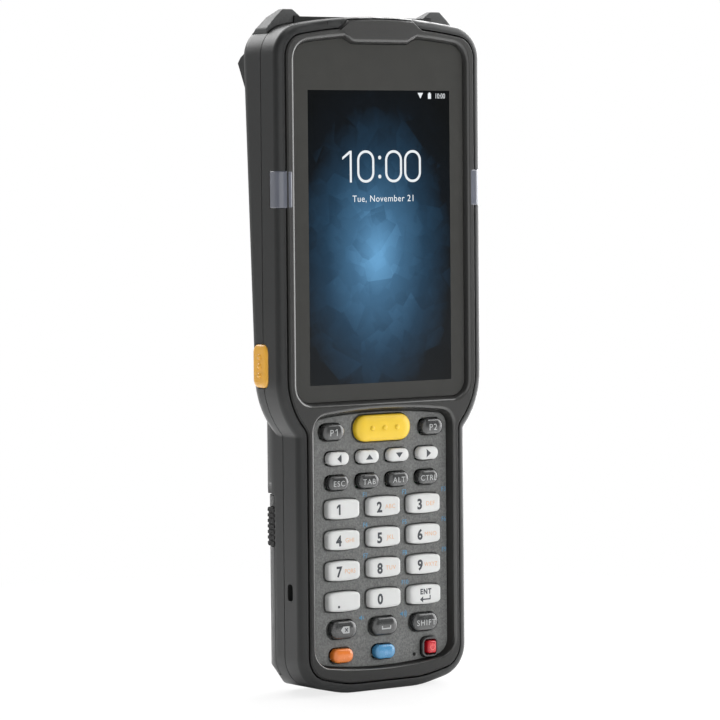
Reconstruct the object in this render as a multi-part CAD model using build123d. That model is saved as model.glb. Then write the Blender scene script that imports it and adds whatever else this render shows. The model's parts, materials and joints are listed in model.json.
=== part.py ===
from build123d import *
import os
from math import atan2, degrees, hypot, sqrt

# Handheld barcode terminal with a touch screen above a numeric keypad.
# Drawing frame, in millimetres: x to the right, y along the length towards the
# scanner end, z out of the screen. The glass face is z = 0 and the picture's
# centre is x = y = 0. export_node() stands the drawing up on its docking end.

# ---- plan outline
HEAD_HALF = 37.35          # half width beside the screen
GRIP_HALF = 30.7           # half width beside the keypad
HEAD_Y = 64.9              # scanner end
FOOT_Y = -134.8            # docking end
CROWN_R = 172.0            # arch of the scanner end
HEAD_CORNER_R = 9.5
SHOULDER_Y = -40.8         # where the shoulder arc leaves the straight side
SHOULDER_R = 25.0
KINK_R = 1.5               # where the shoulder meets the grip
FOOT_FLAT = 14.0           # half length of the flat that the terminal stands on
FOOT_FLAT_R = 30.0
FOOT_CORNER_Y = -131.1
FOOT_CORNER_R = 10.0

# ---- levels through the thickness
RIM_Z = 1.5                # highest face, the bezel
EDGE_Z = 1.0               # top of the front housing, beside the bezel
SEAT_Z = -2.0              # ledge that carries bezel, gasket and keypad plate
LEDGE = 1.4                # thickness of that ledge
PARTING_Z = -7.6           # joint between the two housings
WALL = 2.2                 # housing wall
EDGE_R = 2.45              # rounded edge of the front housing
GAP = 0.1                  # clearance between fixed neighbours
SLIDE = 0.2                # clearance round a piece that moves

# ---- bezel and display
BEZEL_INSET = 3.2          # bezel edge, in from the plan outline
GROOVE = 0.45              # dark line round the bezel
BEZEL_EDGE = 0.4           # chamfer round the bezel's top
BROW_INSET = 0.9           # bezel edge at the middle of the scanner end
BROW_SLANT = 4.2           # how far the brow's ends run out over the bezel's inset
BEZEL_SIDE = 3.25          # bezel's width beside the glass
GLASS_HALF = HEAD_HALF - BEZEL_INSET - BEZEL_SIDE
GLASS_LOW_Y = -48.2
GLASS_TOP_Y = 58.85
GLASS_CROWN_R = 190.0
GLASS_CORNER_R = 5.0
GLASS_THICK = 1.1
TAB_Y = 56.7               # bezel tab that dips into the glass at the top
TAB_HALF = 10.0            # half length of the tab and of the brow above it
TAB_SLANT = 3.3
RIM_SLOPE = 0.9            # how far the bezel's inner wall leans back
LCD_HALF = GLASS_HALF - 3.3
LCD_LOW_Y = -46.0
LCD_HIGH_Y = 48.4
LCD_THICK = 3.0
LCD_ROOM = 0.3

# ---- keypad recess
PANEL_Z = -1.0             # face of the keypad plate
RECESS_HALF = 24.6
RECESS_TOP_Y = -51.7
RECESS_TOP_R = 182.0
RECESS_LOW_Y = -127.7
RECESS_LOW_R = 143.0
RECESS_CORNER_TOP_R = 3.6
RECESS_CORNER_LOW_R = 5.0
RECESS_SLOPE = 1.2         # how far the recess wall leans back
RECESS_LOW_SLOPE = 0.3     # and at its lower end
LEDGE_UNDER_PLATE = 0.8    # width of the ledge under the plate

# ---- keys
KEY_TOP_Z = 0.5
KEY_EDGE = 0.4             # chamfer round a key's top
KEY_FLANGE = 0.45          # how far the retaining flange stands out
KEY_FLANGE_THICK = 0.4
KEY_TRAVEL = 0.8
DOME_ROOM = 0.05           # left above the dome when a key is down
DOME_HIGH = 0.25
DOME_R = 2.0
DOME_SIDES = 8
PLUNGER = 2.4              # side of the square plunger
PILL = 0.46                # corner radius of a long key, as a share of its height
BARREL_SAG = 0.45          # arch of a number key's long edges
BARREL_CORNER_R = 1.3
NUMBER_PITCH_X = 14.9
NUMBER_PITCH_Y = 9.13
NUMBER_TOP_Y = -80.0
NUMBER_SIZE = (12.2, 6.1)
SMALL_PITCH_X = 10.97
ARROW_Y = -65.0
ARROW_SIZE = (8.2, 4.1)
FUNCTION_Y = -72.2
FUNCTION_SIZE = (8.2, 4.4)
PROGRAM_X = 18.2
PROGRAM_Y = -57.1
PROGRAM_SIZE = (8.6, 4.9)
SCAN_KEY_Y = -56.6
SCAN_KEY_SIZE = (20.8, 8.0)
LOWER_Y = -115.7
LOWER_PITCH_X = 15.0
LOWER_SIZE = (10.1, 5.4)
COLOUR_Y = -123.4
COLOUR_SIZE = (8.0, 4.4)
ORANGE_X = -15.4
POWER_X = 17.2
POWER_SIZE = (4.0, 4.1)
POWER_CORNER_R = 0.8
POWER_RING = 1.0           # width of the black ring round the power key
POWER_RING_Z = 0.2
MIC_X = 12.0
MIC_Y = -125.3
MIC_R = 0.5
MAT_ROOM = 0.1             # left between a key's flange and the mat when down
BOARD_THICK = 0.8
SHEET_MARGIN = 1.2         # mat and board edge, in from the recess
SHEET_CORNER_R = 3.0

# ---- chassis and main board
CHASSIS_THICK = 1.2
CHASSIS_RIB = 3.5
CHASSIS_RIB_INSET = 0.7
BOSS_R = 2.0
MAIN_HALF = HEAD_HALF - 5.35
MAIN_LOW_Y = -50.0
MAIN_HIGH_Y = 42.0
MAIN_THICK = 1.0
MAIN_DROP = 1.25           # from the chassis to the main board
CHIP_HIGH = 1.4
SHIELD_CANS = [(2.0, 26.0, 26.0, 18.0), (14.0, 2.0, 22.0, 20.0),
               (-14.0, 0.0, 20.0, 24.0), (0.0, -30.0, 40.0, 18.0)]

# ---- rear housing
WING_BACK_Z = -19.1        # back of the wings at the screen's centre line
WING_BACK_Y = 45.0
WING_SLOPE = 0.0443        # the wings thin towards the grip
WING_R = 5.0
SPINE_BACK_Z = -23.8
PACK_BACK_Z = -22.8
SPINE_R = 12.0
HUMP_HALF = HEAD_HALF - 7.05
HUMP_FACET = (5.3, 3.3)    # facet along each side of the hump, across and deep
BACK_Z = -32.9             # deepest line, behind the scan engine
HUMP_PEAK_Y = 51.7
HUMP_FOOT = (36.0, -25.2)  # where the hump's slope flattens
HUMP_END = (28.0, -21.8)   # where its sides run out into the wings
FACE_TOP_Z = -10.5         # top edge of the slanted scanner face
FACE_LOW = (53.4, -31.4)   # its lower edge
FOOT_BEVEL = (5.5, 8.5)    # bevel round the docking end, across it and along the grip

# ---- scan window and engine
WINDOW_SIZE = (37.6, 13.2)
WINDOW_THICK = 1.2
WINDOW_SINK = 0.2
WINDOW_LAND = 1.8
WINDOW_CORNER_R = 2.0
WINDOW_SHIFT = 1.0         # down the slanted face from its middle
ENGINE_SIZE = (32.0, 11.0, 12.0)
ENGINE_LENS = (24.0, 7.0, 1.6)

# ---- bumpers at the scanner corners
BUMPER_TOP_Y = 67.0
BUMPER_IN = WINDOW_SIZE[0] / 2 + 3.2
BUMPER_OUT = HEAD_HALF - 2.75
BUMPER_WIDE = BUMPER_OUT - BUMPER_IN
BUMPER_TOP_IN = BUMPER_IN + 0.262 * BUMPER_WIDE
BUMPER_TOP_OUT = BUMPER_OUT - 0.468 * BUMPER_WIDE
BUMPER_CROWN = (BUMPER_OUT - 0.254 * BUMPER_WIDE, 64.6)
BUMPER_OUT_Y = 61.3
BUMPER_INNER_Y = 64.6
BUMPER_FRONT_Z = -8.0
BUMPER_BACK = [(67.0, -10.5), (64.7, -13.2), (61.6, -13.9), (57.5, -17.5)]

# ---- lamps, side buttons, tether slot
LAMP_Y = (8.9, 19.7)
LAMP_LOW_Z = -3.4
BUTTON_Y = -37.25
BUTTON_Z = -8.9
BUTTON_SIZE = (12.7, 7.4)
BUTTON_CORNER_R = 2.4
BUTTON_PROUD = 0.8
BUTTON_EDGE = 0.5
BUTTON_DEPTH = 3.6
BUTTON_TRAVEL = 0.7
BUTTON_TAB = (1.0, 3.0, 0.5)
BUTTON_SEAT = 0.45         # from the tabs to the wall, which curves in at the shoulder
BUTTON_NUB_R = 1.0
BUTTON_NUB_Z = -10.6
BUTTON_DOTS = 3
BUTTON_DOT_PITCH = 2.7
BUTTON_DOT_R = 0.5
BUTTON_DOT_HIGH = 0.2
SWITCH_SIZE = (2.6, 6.0, 2.8)
TETHER_Y = -104.0
TETHER_Z = -4.45
TETHER_SIZE = (5.0, 2.5)
TETHER_DEPTH = 1.8

# ---- battery bay and pack
BAY_LOW_Y = -129.3
BAY_HIGH_Y = -75.7
BAY_HALF = 27.2
BAY_FLOOR_Z = -9.9
BAY_FLOOR_THICK = 1.2
BAY_WALL = 0.7             # from the bay to the lower end of the wings
BAY_RAIL_Z = -12.3
PACK_ROOM = 0.25
PACK_FRONT_Z = -11.0
PACK_SEAM = 0.1
LATCH_Y = BAY_HIGH_Y - 9.35
LATCH_Z = -14.05
LATCH_SIZE = (11.5, 3.3)
LATCH_CORNER_R = 0.8
LATCH_PROUD = 0.1
LATCH_DEPTH = 3.5
LATCH_TRAVEL = 1.5
LATCH_RIBS = 6
LATCH_RIB_DEEP = 0.35
SCOOP_R = 4.5
SCOOP_Y = BAY_HIGH_Y - 0.5
SCOOP_Z = -13.8
CONTACT_SIZE = (18.0, 4.5, 0.85)
CONTACT_Y = BAY_HIGH_Y - 5.3
CONTACT_BLADES = 5

# ---- loudspeaker, vibration motor, dock connector, seal, screws
SPEAKER_Y = 16.0
SPEAKER_R = 8.0
SPEAKER_HIGH = 3.5
SPEAKER_SEAT = 0.3
GRILLE_SLOTS = 5
GRILLE_PITCH = 2.4
GRILLE_SIZE = (10.0, 1.1)
MOTOR_X = -20.0
MOTOR_Y = 25.0
MOTOR_R = 5.0
MOTOR_HIGH = 3.0
DOCK_SIZE = (18.0, 5.0, 3.6)
DOCK_Z = -13.0
DOCK_SINK = 0.6
DOCK_PADS = 7
DOCK_PAD = 1.2
SEAL_INSET = 0.8
SEAL_WIDE = 0.7
SEAL_DEEP = 0.7
SCREW_PLACES = [(24.0, 28.0), (24.0, -30.0), (21.0, BAY_HIGH_Y + 8.7)]
SCREW_HEAD_R = 2.2
SCREW_HEAD_HIGH = 1.8
SCREW_R = 1.2
SCREW_LONG = 8.0
SCREW_SINK = 1.6
SCREW_BOSS = 6.0           # side of the square boss round a screw
SCREW_SIDES = 8            # facets that stand for a screw's round shank

FAR = 200.0                # longer than any cut needs to be


# ---------------------------------------------------------------- helpers

def slab(face, low, high):
    """Stands a flat drawing in the x-y plane up between two levels."""
    return extrude(Pos(0, 0, low) * face, amount=high - low, dir=(0, 0, 1))


def block(x, y, z):
    """A box given by its low and high ends along each axis."""
    size = (x[1] - x[0], y[1] - y[0], z[1] - z[0])
    centre = ((x[0] + x[1]) / 2, (y[0] + y[1]) / 2, (z[0] + z[1]) / 2)
    return Pos(*centre) * Box(*size)


def both_sides(solid):
    """A solid and its mirror image on the other side of the middle."""
    return [solid, mirror(solid, about=Plane.YZ)]


def corners_at(face, x, y):
    """The mirrored pair of outline corners at plus and minus x."""
    return [v for v in face.vertices()
            if abs(abs(v.X) - x) < 0.01 and abs(v.Y - y) < 0.01]


def half_outline(*edges):
    """A closed face from the edges of its right half."""
    right = list(edges)
    left = [mirror(edge, about=Plane.YZ) for edge in right]
    return make_face(Curve() + right + left)


def arch(x, top, radius):
    """Height of a symmetric arch at distance x from the middle."""
    return top - radius + sqrt(radius ** 2 - x ** 2)


# ---------------------------------------------------------------- outlines

def plan_outline(inset=0.0):
    """Outline of the terminal seen from the front, drawn in by inset."""
    head_side_y = arch(HEAD_HALF, HEAD_Y, CROWN_R)
    step = HEAD_HALF - GRIP_HALF
    kink_y = SHOULDER_Y - sqrt(2 * SHOULDER_R * step - step ** 2)
    half_step = step / 4
    bulge_y = SHOULDER_Y - sqrt(2 * SHOULDER_R * half_step - half_step ** 2)
    face = half_outline(
        ThreePointArc((0, HEAD_Y), (HEAD_HALF / 2, arch(HEAD_HALF / 2, HEAD_Y, CROWN_R)),
                      (HEAD_HALF, head_side_y)),
        Line((HEAD_HALF, head_side_y), (HEAD_HALF, SHOULDER_Y)),
        ThreePointArc((HEAD_HALF, SHOULDER_Y), (HEAD_HALF - half_step, bulge_y),
                      (GRIP_HALF, kink_y)),
        Line((GRIP_HALF, kink_y), (GRIP_HALF, FOOT_CORNER_Y)),
        Line((GRIP_HALF, FOOT_CORNER_Y), (FOOT_FLAT, FOOT_Y)),
        Line((FOOT_FLAT, FOOT_Y), (0, FOOT_Y)))
    face = fillet(corners_at(face, HEAD_HALF, head_side_y), HEAD_CORNER_R)
    face = fillet(corners_at(face, GRIP_HALF, kink_y), KINK_R)
    face = fillet(corners_at(face, GRIP_HALF, FOOT_CORNER_Y), FOOT_CORNER_R)
    face = fillet(corners_at(face, FOOT_FLAT, FOOT_Y), FOOT_FLAT_R)
    return offset(face, amount=-inset) if inset else face


def bezel_outline(grow=0.0):
    """Outline of the bezel, with the brow that reaches the scanner end."""
    half = TAB_HALF + grow
    low = (half + 2 * BROW_SLANT, HEAD_Y - 2 * BEZEL_INSET)
    brow = make_face(Polyline((-low[0], low[1]), (-half, HEAD_Y), (half, HEAD_Y), low, close=True))
    return plan_outline(BEZEL_INSET - grow) + (brow & plan_outline(BROW_INSET - grow))


def glass_outline(grow=0.0):
    """Outline of the touch glass, notched for the bezel's tab."""
    side_y = arch(GLASS_HALF, GLASS_TOP_Y, GLASS_CROWN_R)
    slant_x = TAB_HALF + TAB_SLANT
    slant_y = arch(slant_x, GLASS_TOP_Y, GLASS_CROWN_R)
    middle = (slant_x + GLASS_HALF) / 2
    face = half_outline(
        Line((0, TAB_Y), (TAB_HALF, TAB_Y)),
        Line((TAB_HALF, TAB_Y), (slant_x, slant_y)),
        ThreePointArc((slant_x, slant_y), (middle, arch(middle, GLASS_TOP_Y, GLASS_CROWN_R)),
                      (GLASS_HALF, side_y)),
        Line((GLASS_HALF, side_y), (GLASS_HALF, GLASS_LOW_Y)),
        Line((GLASS_HALF, GLASS_LOW_Y), (0, GLASS_LOW_Y)))
    face = fillet(corners_at(face, GLASS_HALF, side_y), GLASS_CORNER_R)
    face = fillet(corners_at(face, GLASS_HALF, GLASS_LOW_Y), GLASS_CORNER_R)
    return offset(face, amount=grow) if grow else face


def recess_outline(grow=0.0):
    """Outline of the keypad recess at the level of the keypad plate."""
    top_y = arch(RECESS_HALF, RECESS_TOP_Y, RECESS_TOP_R)
    low_y = 2 * RECESS_LOW_Y - arch(RECESS_HALF, RECESS_LOW_Y, RECESS_LOW_R)
    half = RECESS_HALF / 2
    half_low_y = 2 * RECESS_LOW_Y - arch(half, RECESS_LOW_Y, RECESS_LOW_R)
    face = half_outline(
        ThreePointArc((0, RECESS_TOP_Y), (half, arch(half, RECESS_TOP_Y, RECESS_TOP_R)),
                      (RECESS_HALF, top_y)),
        Line((RECESS_HALF, top_y), (RECESS_HALF, low_y)),
        ThreePointArc((RECESS_HALF, low_y), (half, half_low_y), (0, RECESS_LOW_Y)))
    face = fillet(corners_at(face, RECESS_HALF, top_y), RECESS_CORNER_TOP_R)
    face = fillet(corners_at(face, RECESS_HALF, low_y), RECESS_CORNER_LOW_R)
    return offset(face, amount=grow) if grow else face


def sheet_outline(margin):
    """Rounded rectangle under the keypad recess, for the mat and its board."""
    width = 2 * (RECESS_HALF - margin)
    height = RECESS_TOP_Y - RECESS_LOW_Y - 2 * margin
    middle = (RECESS_TOP_Y + RECESS_LOW_Y) / 2
    return Pos(0, middle) * RectangleRounded(width, height, SHEET_CORNER_R)


def display_opening(margin=0.0):
    """Rectangle that the display module drops through, shrunk by margin."""
    width = 2 * (LCD_HALF + LCD_ROOM - margin)
    height = LCD_HIGH_Y - LCD_LOW_Y + 2 * (LCD_ROOM - margin)
    return Pos(0, (LCD_HIGH_Y + LCD_LOW_Y) / 2) * Rectangle(width, height)


# ---------------------------------------------------------------- keys

def barrel(size, grow=0.0):
    """Number key outline: straight ends and arched long edges."""
    x = size[0] / 2
    y = size[1] / 2
    corner_y = y - BARREL_SAG
    face = half_outline(
        ThreePointArc((0, y), (x / 2, y - BARREL_SAG / 4), (x, corner_y)),
        Line((x, corner_y), (x, -corner_y)),
        ThreePointArc((x, -corner_y), (x / 2, BARREL_SAG / 4 - y), (0, -y)))
    face = fillet(corners_at(face, x, corner_y) + corners_at(face, x, -corner_y),
                  BARREL_CORNER_R)
    return offset(face, amount=grow) if grow else face


def pill(size, grow=0.0):
    """Long key outline with nearly round ends."""
    return RectangleRounded(size[0] + 2 * grow, size[1] + 2 * grow, PILL * size[1] + grow)


def square(size, grow=0.0):
    """Power key outline."""
    return RectangleRounded(size[0] + 2 * grow, size[1] + 2 * grow, POWER_CORNER_R + grow)


def key_layout():
    """Every key: its name, the drawing of its outline, its size and its place."""
    keys = [("key_p1", pill, PROGRAM_SIZE, -PROGRAM_X, PROGRAM_Y),
            ("key_scan", pill, SCAN_KEY_SIZE, 0, SCAN_KEY_Y),
            ("key_p2", pill, PROGRAM_SIZE, PROGRAM_X, PROGRAM_Y)]
    small_rows = [(("left", "up", "down", "right"), ARROW_Y, ARROW_SIZE),
                  (("esc", "tab", "alt", "ctrl"), FUNCTION_Y, FUNCTION_SIZE)]
    for names, y, size in small_rows:
        for column, name in enumerate(names):
            keys.append(("key_" + name, pill, size, (column - 1.5) * SMALL_PITCH_X, y))
    for index, name in enumerate(("1", "2", "3", "4", "5", "6", "7", "8", "9",
                                  "dot", "0", "enter")):
        column, row = index % 3 - 1, index // 3
        keys.append(("key_" + name, barrel, NUMBER_SIZE, column * NUMBER_PITCH_X,
                     NUMBER_TOP_Y - row * NUMBER_PITCH_Y))
    for column, name in enumerate(("backspace", "space", "shift")):
        keys.append(("key_" + name, pill, LOWER_SIZE, (column - 1) * LOWER_PITCH_X, LOWER_Y))
    keys.append(("key_orange", pill, COLOUR_SIZE, ORANGE_X, COLOUR_Y))
    keys.append(("key_blue", pill, COLOUR_SIZE, 0, COLOUR_Y))
    keys.append(("key_power", square, POWER_SIZE, POWER_X, COLOUR_Y))
    return keys


FLANGE_TOP_Z = SEAT_Z - GAP
FLANGE_LOW_Z = FLANGE_TOP_Z - KEY_FLANGE_THICK
MAT_TOP_Z = FLANGE_LOW_Z - KEY_TRAVEL - MAT_ROOM
BOARD_TOP_Z = MAT_TOP_Z - 1.55
DOME_TOP_Z = BOARD_TOP_Z + DOME_HIGH
PLUNGER_LOW_Z = DOME_TOP_Z + DOME_ROOM + KEY_TRAVEL
BOARD_LOW_Z = BOARD_TOP_Z - BOARD_THICK
CHASSIS_LOW_Z = BOARD_LOW_Z - CHASSIS_THICK
MAIN_TOP_Z = CHASSIS_LOW_Z - MAIN_DROP
MAIN_LOW_Z = MAIN_TOP_Z - MAIN_THICK
MAT_HOLE = 2 * (DOME_R + SLIDE)


def flange(size, room=0.0):
    """Rectangle of a key's retaining flange."""
    grow = 2 * (KEY_FLANGE + room)
    return Rectangle(size[0] + grow, size[1] + grow)


def key_cap(draw, size, x, y):
    """One key: its cap, the flange that holds it in, and its plunger."""
    cap = slab(draw(size), FLANGE_LOW_Z, KEY_TOP_Z)
    cap = chamfer(cap.edges().group_by(Axis.Z)[-1], KEY_EDGE)
    cap += slab(flange(size), FLANGE_LOW_Z, FLANGE_TOP_Z)
    cap += slab(Rectangle(PLUNGER, PLUNGER), PLUNGER_LOW_Z, FLANGE_LOW_Z)
    return Pos(x, y) * cap


def keypad_plate():
    """Textured plate that the keys stand through."""
    plate = slab(recess_outline(-GAP), SEAT_Z, PANEL_Z)
    for name, draw, size, x, y in key_layout():
        room = POWER_RING + GAP if name == "key_power" else SLIDE
        plate -= slab(Pos(x, y) * draw(size, room), SEAT_Z, PANEL_Z)
    return plate - slab(Pos(MIC_X, MIC_Y) * Circle(MIC_R), SEAT_Z, PANEL_Z)


def power_key_bezel():
    """Black ring round the power key."""
    ring = square(POWER_SIZE, POWER_RING) - square(POWER_SIZE, SLIDE)
    return slab(Pos(POWER_X, COLOUR_Y) * ring, SEAT_Z, POWER_RING_Z)


def under_keys(face):
    """A flat drawing repeated under every key."""
    return [Pos(x, y) * face for name, draw, size, x, y in key_layout()]


def keypad_mat():
    """Silicone mat on the keypad board, open over each dome."""
    face = sheet_outline(SHEET_MARGIN)
    for hole in under_keys(Rectangle(MAT_HOLE, MAT_HOLE)):
        face -= hole
    return slab(face, BOARD_TOP_Z, MAT_TOP_Z)


def dome_switches():
    """Snap domes, one under each key."""
    disc = RegularPolygon(DOME_R, DOME_SIDES)
    return [slab(dome, BOARD_TOP_Z, DOME_TOP_Z) for dome in under_keys(disc)]


def keypad_board():
    return slab(sheet_outline(SHEET_MARGIN), BOARD_LOW_Z, BOARD_TOP_Z)


# ---------------------------------------------------------------- front

def front_outer():
    """Outside of the front housing, with its rounded edge."""
    body = slab(plan_outline(), PARTING_Z, EDGE_Z)
    return fillet(body.edges().group_by(Axis.Z)[-1], EDGE_R)


def lamp_box():
    """Space that the right-hand lamp's light pipe takes."""
    return block((HEAD_HALF - BEZEL_INSET, HEAD_HALF), LAMP_Y, (LAMP_LOW_Z, EDGE_Z))


def button_opening(room):
    """Right-hand side button's outline, pushed through the wall."""
    face = RectangleRounded(BUTTON_SIZE[0] + 2 * room, BUTTON_SIZE[1] + 2 * room,
                            BUTTON_CORNER_R + room)
    side = Plane(origin=(HEAD_HALF - BUTTON_DEPTH, BUTTON_Y, BUTTON_Z),
                 x_dir=(0, 1, 0), z_dir=(1, 0, 0))
    return extrude(side * face, amount=BUTTON_DEPTH + BUTTON_PROUD)


def tether_slot():
    """Blind slot in the left side for a tether."""
    side = Plane(origin=(-GRIP_HALF, TETHER_Y, TETHER_Z), x_dir=(0, 1, 0), z_dir=(1, 0, 0))
    face = RectangleRounded(TETHER_SIZE[0], TETHER_SIZE[1], TETHER_SIZE[1] / 2.5)
    return extrude(side * face, amount=TETHER_DEPTH)


def front_housing():
    """Front shell: outer frame with the ledge that carries bezel and keypad."""
    body = front_outer()
    body -= slab(bezel_outline(GROOVE), SEAT_Z, EDGE_Z)
    body -= slab(plan_outline(WALL), PARTING_Z, SEAT_Z - LEDGE)
    body -= slab(display_opening(), PARTING_Z, SEAT_Z)
    body -= slab(recess_outline(-LEDGE_UNDER_PLATE), PARTING_Z, SEAT_Z)
    for name, draw, size, x, y in key_layout():
        body -= slab(Pos(x, y) * flange(size, SLIDE), SEAT_Z - LEDGE, SEAT_Z)
    for cut in both_sides(lamp_box()) + both_sides(button_opening(SLIDE)):
        body -= cut
    return body - tether_slot()


def led_lens():
    """Right-hand light pipe, flush with the housing's rounded edge."""
    return front_outer() & lamp_box()


def front_bezel():
    """Raised rim round the glass and the keypad, with leaning inner walls."""
    body = slab(bezel_outline(), SEAT_Z, RIM_Z)
    body = chamfer(body.edges().group_by(Axis.Z)[-1], BEZEL_EDGE)
    lean = degrees(atan2(RIM_SLOPE, RIM_Z))
    body -= slab(glass_outline(GAP), SEAT_Z, 0)
    body -= extrude(glass_outline(GAP), amount=RIM_Z, dir=(0, 0, 1), taper=-lean)
    depth = RIM_Z - PANEL_Z
    lean = degrees(atan2(RECESS_SLOPE, depth))
    body -= slab(recess_outline(), SEAT_Z, PANEL_Z)
    leaning = extrude(Pos(0, 0, PANEL_Z) * recess_outline(), amount=depth, dir=(0, 0, 1),
                      taper=-lean)
    lower_end = Pos(0, RECESS_SLOPE - RECESS_LOW_SLOPE) * recess_outline(RECESS_SLOPE)
    return body - (leaning & slab(lower_end, PANEL_Z, RIM_Z))


def touch_glass():
    return slab(glass_outline(), -GLASS_THICK, 0)


def display_gasket():
    """Foam frame between the glass and the ledge."""
    return slab(glass_outline(-GAP) - display_opening(), SEAT_Z, -GLASS_THICK)


def lcd_module():
    """Display module hung under the glass."""
    low_z = -GLASS_THICK - LCD_THICK
    return slab(display_opening(LCD_ROOM), low_z, -GLASS_THICK)


def chassis():
    """Metal frame inside: a plate with ribs under the display and board posts."""
    body = slab(plan_outline(WALL + LCD_ROOM), CHASSIS_LOW_Z, BOARD_LOW_Z)
    rib_top_z = -GLASS_THICK - LCD_THICK
    ribs = display_opening(LCD_ROOM + CHASSIS_RIB_INSET)
    ribs -= display_opening(LCD_ROOM + CHASSIS_RIB_INSET + CHASSIS_RIB)
    body += slab(ribs, BOARD_LOW_Z, rib_top_z)
    for x in (-MAIN_HALF + 2 * BOSS_R, MAIN_HALF - 2 * BOSS_R):
        for y in (MAIN_LOW_Y + 2 * BOSS_R, MAIN_HIGH_Y - 2 * BOSS_R):
            body += slab(Pos(x, y) * Circle(BOSS_R), MAIN_TOP_Z, CHASSIS_LOW_Z)
    room = BUTTON_SIZE[0] / 2 + BUTTON_TAB[0] + 1
    notch = block((HEAD_HALF - BUTTON_DEPTH - BUTTON_TRAVEL - SLIDE, HEAD_HALF),
                  (BUTTON_Y - room, BUTTON_Y + room), (CHASSIS_LOW_Z, BOARD_LOW_Z))
    for cut in both_sides(notch):
        body -= cut
    return body


def main_board():
    """Main circuit board with its shield cans."""
    middle = (MAIN_LOW_Y + MAIN_HIGH_Y) / 2
    size = (2 * MAIN_HALF, MAIN_HIGH_Y - MAIN_LOW_Y)
    body = slab(Pos(0, middle) * Rectangle(*size), MAIN_LOW_Z, MAIN_TOP_Z)
    for x, y, wide, high in SHIELD_CANS:
        body += slab(Pos(x, y) * Rectangle(wide, high), MAIN_LOW_Z - CHIP_HIGH, MAIN_LOW_Z)
    return body


# ---------------------------------------------------------------- rear

def rear_section(half, back_z, radius, y_low, y_high):
    """Length of the grip's back: flat sides and back with round corners."""
    top_z = 0.0
    face = Pos(0, (back_z + top_z) / 2) * Rectangle(2 * half, top_z - back_z)
    low = [v for v in face.vertices() if v.Y < back_z + 0.01]
    face = fillet(low, radius)
    start = Plane(origin=(0, y_low, 0), x_dir=(1, 0, 0), z_dir=(0, -1, 0))
    return extrude(start * face, amount=-(y_high - y_low))


def side_profile(points, half):
    """A prism across the body from points given as (y, z)."""
    side = Plane(origin=(-half, 0, 0), x_dir=(0, 1, 0), z_dir=(1, 0, 0))
    return extrude(side * make_face(Polyline(*points, close=True)), amount=2 * half)


def slanted_face(sink=0.0):
    """Unit direction down the scanner face, its outward normal and its middle."""
    run_y = FACE_LOW[0] - HEAD_Y
    run_z = FACE_LOW[1] - FACE_TOP_Z
    length = hypot(run_y, run_z)
    down = (run_y / length, run_z / length)
    normal = (-down[1], down[0])
    middle = ((FACE_LOW[0] + HEAD_Y) / 2 - normal[0] * sink,
              (FACE_LOW[1] + FACE_TOP_Z) / 2 - normal[1] * sink)
    return down, normal, middle


def beyond_face(sink=0.0):
    """Everything in front of the slanted scanner face."""
    down, normal, middle = slanted_face(sink)
    points = [(middle[0] + (a * down[0] + b * normal[0]) * FAR,
               middle[1] + (a * down[1] + b * normal[1]) * FAR)
              for a, b in ((-1, 0), (1, 0), (1, 1), (-1, 1))]
    return side_profile(points, FAR / 2)


def wing_back(y):
    """Depth of the wings' back at a distance along the length."""
    return WING_BACK_Z + WING_SLOPE * (WING_BACK_Y - y)


def grip_back():
    """Back of the grip from the docking end, with its bevelled end, to the bay's top."""
    body = rear_section(GRIP_HALF, PACK_BACK_Z, SPINE_R, FOOT_Y, BAY_HIGH_Y)
    end = body.faces().sort_by(Axis.Y)[0]
    rim = [edge for edge in end.edges() if edge.center().Z < -GAP]
    body = chamfer(rim, FOOT_BEVEL[0], FOOT_BEVEL[1], reference=end)
    return body & slab(plan_outline(), BACK_Z, 0)


def hump_profile(skin):
    """Side profile of the hump's ridge, in y and z."""
    return make_face(Polyline(
        (HUMP_END[0], 0), (HUMP_END[0], HUMP_END[1] + skin), (HUMP_FOOT[0], HUMP_FOOT[1] + skin),
        (HUMP_PEAK_Y, BACK_Z + skin), (FACE_LOW[0], FACE_LOW[1] + skin),
        (HEAD_Y - skin, FACE_TOP_Z), (HEAD_Y - skin, 0), close=True))


def hump_middle(skin):
    """The hump between its side facets, straight across at the scanner end."""
    half = HUMP_HALF - skin - HUMP_FACET[0]
    start = Plane(origin=(-half, 0, 0), x_dir=(0, 1, 0), z_dir=(1, 0, 0))
    return extrude(start * hump_profile(skin), amount=2 * half)


def scanner_hump(skin):
    """The whole hump: its middle, and its profile sheared outwards at both sides."""
    half = HUMP_HALF - skin - HUMP_FACET[0]
    start = Plane(origin=(half, 0, 0), x_dir=(0, 1, 0), z_dir=(1, 0, 0))
    facet = extrude(start * hump_profile(skin), amount=hypot(*HUMP_FACET),
                    dir=(HUMP_FACET[0], 0, HUMP_FACET[1]))
    hump = hump_middle(skin)
    for side in both_sides(facet):
        hump += side
    return hump


def rear_form(skin=0.0):
    """Outside of the rear housing, or with a skin its inside, without the bay."""
    wing_low_y = BAY_HIGH_Y + BAY_WALL
    outline = slab(plan_outline(skin), BACK_Z, 0)
    wings = outline & side_profile([
        (wing_low_y, 0), (wing_low_y, wing_back(wing_low_y) + skin),
        (FAR / 2, wing_back(FAR / 2) + skin), (FAR / 2, 0)], FAR / 2)
    back_edges = wings.faces().sort_by(Axis.Z)[0].edges()
    wings = fillet([e for e in back_edges if e.center().Y > wing_low_y + GAP], WING_R - skin)
    spine = rear_section(GRIP_HALF - skin, SPINE_BACK_Z + skin, SPINE_R - skin,
                         BAY_HIGH_Y + skin, HUMP_PEAK_Y)
    if not skin:
        spine += grip_back() + hump_middle(skin)
    form = wings + spine + (scanner_hump(skin) & outline) - beyond_face(skin)
    return form - block((-FAR, FAR), (-FAR, FAR), (PARTING_Z, FAR))


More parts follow.
